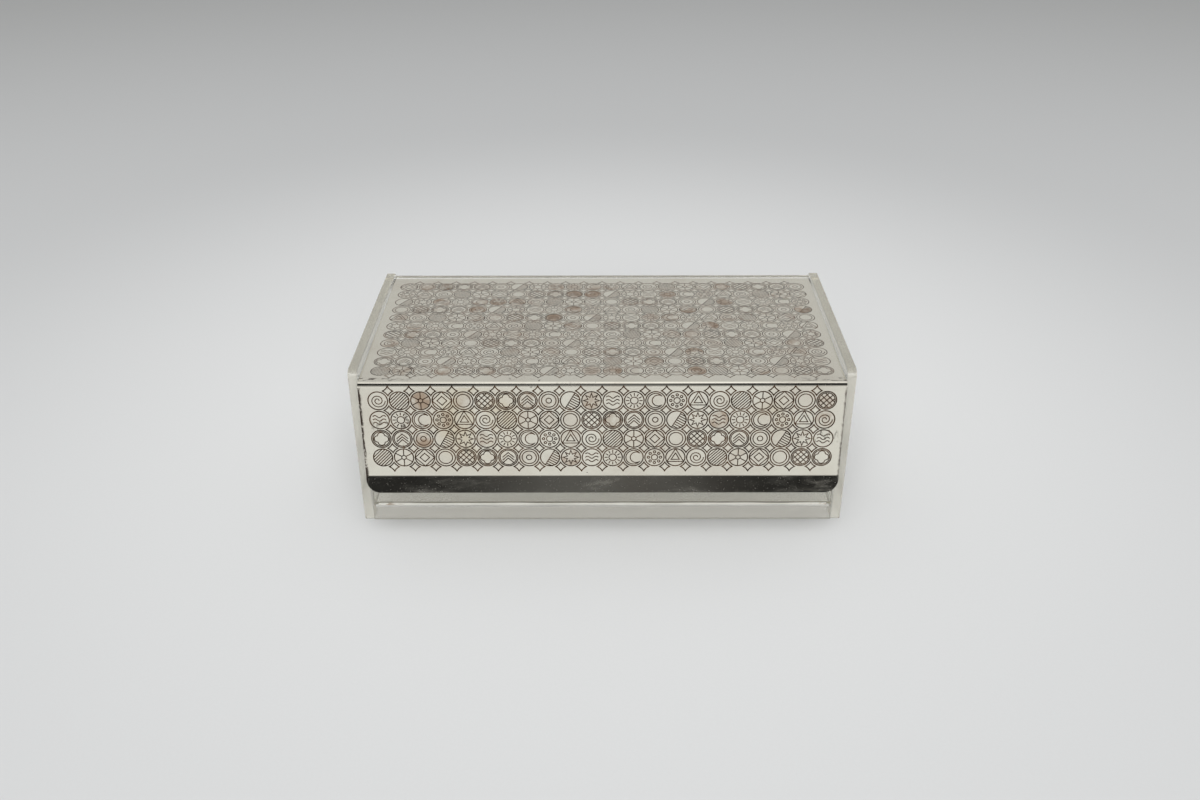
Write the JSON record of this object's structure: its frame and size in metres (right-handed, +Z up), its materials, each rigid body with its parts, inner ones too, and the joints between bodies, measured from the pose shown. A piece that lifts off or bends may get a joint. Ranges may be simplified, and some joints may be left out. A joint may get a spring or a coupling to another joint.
{
  "type": "keepsake box",
  "caption": "Clear acrylic keepsake box with a hinged lid of engraved silver-plated sheet, its apron and flared lip hanging over the front.",
  "frame": {"origin": "centre of the underside of the acrylic body", "axes": "+X along the box to the right, +Y to the hinge at the back, +Z up"},
  "size_m": [0.2, 0.1102, 0.0708],
  "materials": {
    "clear_acrylic": "clear polished acrylic sheet, lightly scratched",
    "silver_plate": "silver plate on sheet metal, engraved and lightly tarnished",
    "pin_steel": "drawn steel pin",
    "dark_nylon": "dark nylon washer"
  },
  "bodies": {
    "body": {"base_plate": "clear_acrylic", "front_panel": "clear_acrylic", "back_panel": "clear_acrylic", "left_end_panel": "clear_acrylic", "right_end_panel": "clear_acrylic", "left_hinge_pin": "pin_steel", "right_hinge_pin": "pin_steel", "left_hinge_washer": "dark_nylon", "right_hinge_washer": "dark_nylon"},
    "lid": {"lid": "silver_plate"}
  },
  "joints": [
    {"name": "lid_hinge", "type": "hinge", "parent": "body", "child": "lid", "pos_m": [0, 0.0437, 0.0671], "axis": [-1, 0, 0], "range_deg": [0, 100]}
  ]
}
